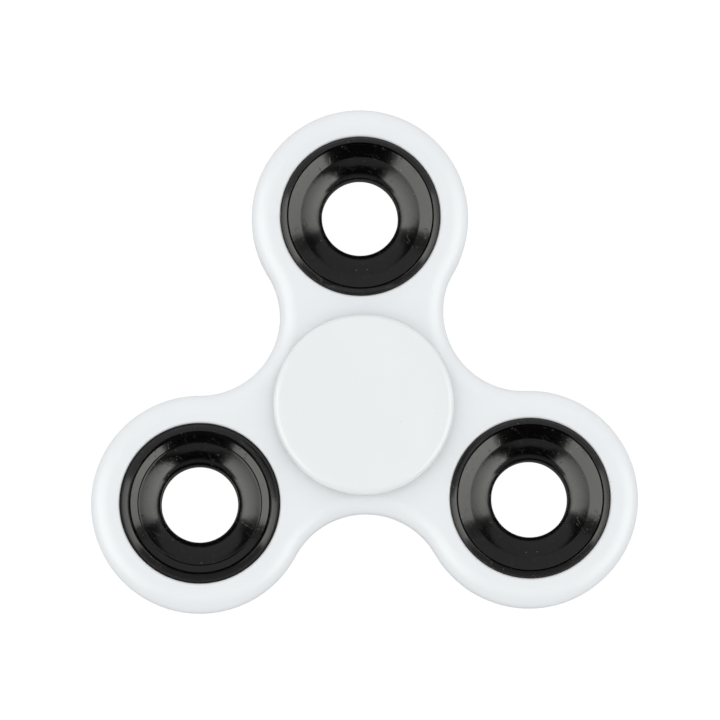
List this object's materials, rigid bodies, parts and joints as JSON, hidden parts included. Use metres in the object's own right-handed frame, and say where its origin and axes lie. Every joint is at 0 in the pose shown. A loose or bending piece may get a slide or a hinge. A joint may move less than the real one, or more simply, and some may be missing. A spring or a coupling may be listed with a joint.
{
  "type": "fidget spinner",
  "caption": "Three-armed hand spinner: a moulded body turns on a ball bearing between two finger caps, with a ring weight in the end of each arm.",
  "frame": {"origin": "the middle of the bearing, on the spin axis, halfway through the body's thickness", "axes": "+Z is the spin axis, out of the upper finger cap; +Y points along one arm, and +X is across the widest part, between the other two arms"},
  "size_m": [0.075, 0.0689, 0.0126],
  "materials": {
    "body_plastic": "smooth moulded white ABS with a slight sheen",
    "cap_plastic": "smooth moulded white ABS with a slight sheen",
    "weight_black": "gloss black lacquer on turned steel",
    "race_steel": "ground bearing steel, lightly oiled",
    "ball_steel": "polished bearing steel",
    "cage_steel": "tumbled pressed steel",
    "shield_steel": "satin pressed steel",
    "clip_wire": "drawn spring wire"
  },
  "bodies": {
    "hub": {"cap_top": "cap_plastic", "cap_bottom": "cap_plastic", "bearing_inner_race": "race_steel"},
    "rotor": {"body": "body_plastic", "weight_1": "weight_black", "weight_2": "weight_black", "weight_3": "weight_black", "bearing_outer_race": "race_steel", "shield_top": "shield_steel", "shield_bottom": "shield_steel", "shield_clip_top": "clip_wire", "shield_clip_bottom": "clip_wire"},
    "cage": {"cage_upper": "cage_steel", "cage_lower": "cage_steel", "cage_rivets": "cage_steel"},
    "ball_1": {"ball_1": "ball_steel"},
    "ball_2": {"ball_2": "ball_steel"},
    "ball_3": {"ball_3": "ball_steel"},
    "ball_4": {"ball_4": "ball_steel"},
    "ball_5": {"ball_5": "ball_steel"},
    "ball_6": {"ball_6": "ball_steel"},
    "ball_7": {"ball_7": "ball_steel"}
  },
  "joints": [
    {"name": "rotor_spin", "type": "hinge", "parent": "hub", "child": "rotor", "pos_m": [0, 0, 0], "axis": [0, 0, 1], "continuous": true},
    {"name": "cage_orbit", "type": "hinge", "parent": "hub", "child": "cage", "pos_m": [0, 0, 0], "axis": [0, 0, 1], "continuous": true},
    {"name": "ball_1_roll", "type": "hinge", "parent": "cage", "child": "ball_1", "pos_m": [0.0075, 0, 0], "axis": [0, 0, 1], "continuous": true},
    {"name": "ball_2_roll", "type": "hinge", "parent": "cage", "child": "ball_2", "pos_m": [0.00468, 0.00586, 0], "axis": [0, 0, 1], "continuous": true},
    {"name": "ball_3_roll", "type": "hinge", "parent": "cage", "child": "ball_3", "pos_m": [-0.00167, 0.00731, 0], "axis": [0, 0, 1], "continuous": true},
    {"name": "ball_4_roll", "type": "hinge", "parent": "cage", "child": "ball_4", "pos_m": [-0.00676, 0.00325, 0], "axis": [0, 0, 1], "continuous": true},
    {"name": "ball_5_roll", "type": "hinge", "parent": "cage", "child": "ball_5", "pos_m": [-0.00676, -0.00325, 0], "axis": [0, 0, 1], "continuous": true},
    {"name": "ball_6_roll", "type": "hinge", "parent": "cage", "child": "ball_6", "pos_m": [-0.00167, -0.00731, 0], "axis": [0, 0, 1], "continuous": true},
    {"name": "ball_7_roll", "type": "hinge", "parent": "cage", "child": "ball_7", "pos_m": [0.00468, -0.00586, 0], "axis": [0, 0, 1], "continuous": true}
  ],
  "couplings": [
    {"joint": "cage_orbit", "follows": "rotor_spin", "ratio": 0.6323},
    {"joint": "ball_1_roll", "follows": "rotor_spin", "ratio": 1.7573},
    {"joint": "ball_2_roll", "follows": "rotor_spin", "ratio": 1.7573},
    {"joint": "ball_3_roll", "follows": "rotor_spin", "ratio": 1.7573},
    {"joint": "ball_4_roll", "follows": "rotor_spin", "ratio": 1.7573},
    {"joint": "ball_5_roll", "follows": "rotor_spin", "ratio": 1.7573},
    {"joint": "ball_6_roll", "follows": "rotor_spin", "ratio": 1.7573},
    {"joint": "ball_7_roll", "follows": "rotor_spin", "ratio": 1.7573}
  ]
}
